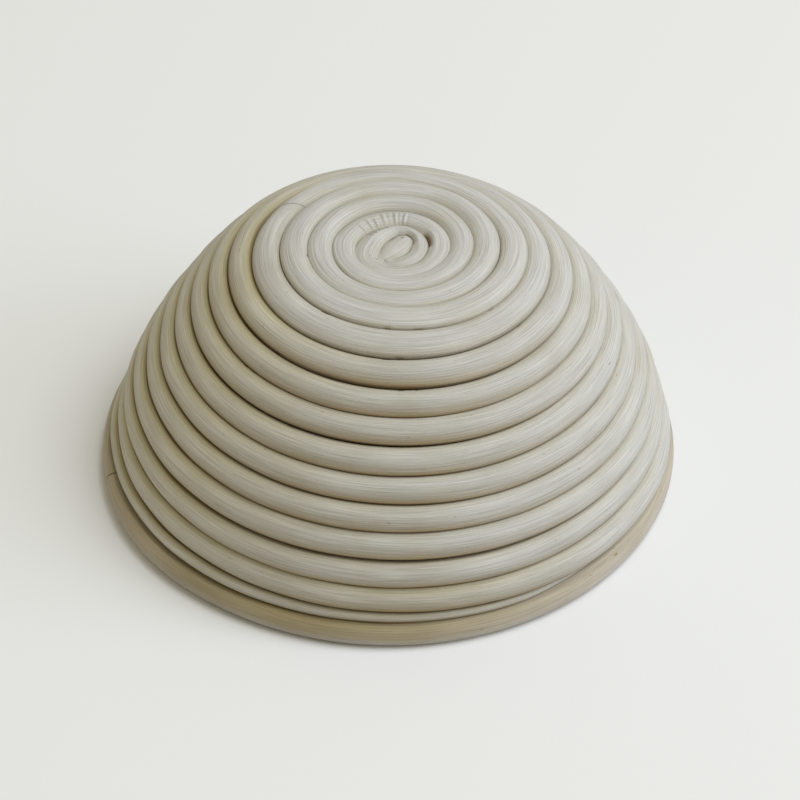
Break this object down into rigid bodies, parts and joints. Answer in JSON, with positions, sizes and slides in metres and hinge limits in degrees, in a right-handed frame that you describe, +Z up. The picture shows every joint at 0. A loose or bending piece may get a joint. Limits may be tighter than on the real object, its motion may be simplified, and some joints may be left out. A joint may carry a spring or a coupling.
{
  "type": "proofing basket",
  "caption": "Round bread-proofing basket, a shallow bowl of spirally coiled round rattan cane pinned with wire brads and closed by a level cane rim ring; shown resting on its rim.",
  "frame": {"origin": "centre of the rim's resting plane; the basket stands upside down on its rim, mouth facing down", "axes": "+Z up, out of the closed base; +X to the right of the basket's front, +Y away from the front"},
  "size_m": [0.1802, 0.1802, 0.0848],
  "materials": {
    "rattan_core": "peeled unvarnished rattan core, matt, with fine lengthwise grain",
    "rattan_rim": "peeled unvarnished rattan core, a little browner, matt",
    "brad_steel": "plain drawn wire"
  },
  "bodies": {
    "root": {"cane_inner": "rattan_core", "cane_middle": "rattan_core", "cane_outer": "rattan_core", "rim_ring": "rattan_rim", "centre_brads": "brad_steel", "base_brads": "brad_steel", "shoulder_brads": "brad_steel", "upper_wall_brads": "brad_steel", "lower_wall_brads": "brad_steel", "scarf_brads": "brad_steel", "ring_brads": "brad_steel"}
  },
  "joints": []
}
